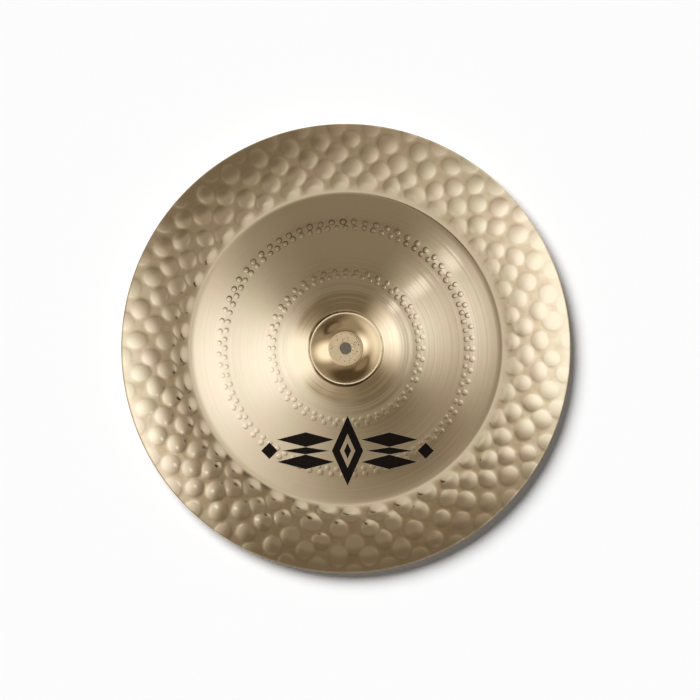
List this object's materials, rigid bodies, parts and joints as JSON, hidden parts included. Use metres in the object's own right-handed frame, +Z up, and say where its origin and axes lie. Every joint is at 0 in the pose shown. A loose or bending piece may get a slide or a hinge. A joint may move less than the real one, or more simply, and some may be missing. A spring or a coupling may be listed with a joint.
{
  "type": "china cymbal",
  "caption": "Round china cymbal of hammered bronze sheet, with a small stepped bell, a shallow bow and an upturned flange covered in round dents.",
  "frame": {"origin": "middle of the ring under the crease that the cymbal rests on, under the centre hole", "axes": "+Z up along the axis of the centre hole, out of the top of the bell; +X and +Y to the right and up in the picture"},
  "size_m": [0.4826, 0.4826, 0.0471],
  "materials": {
    "bronze": "bright polished cast bronze with fine lathe lines and hammer marks"
  },
  "bodies": {
    "root": {"cymbal": "bronze"}
  },
  "joints": []
}
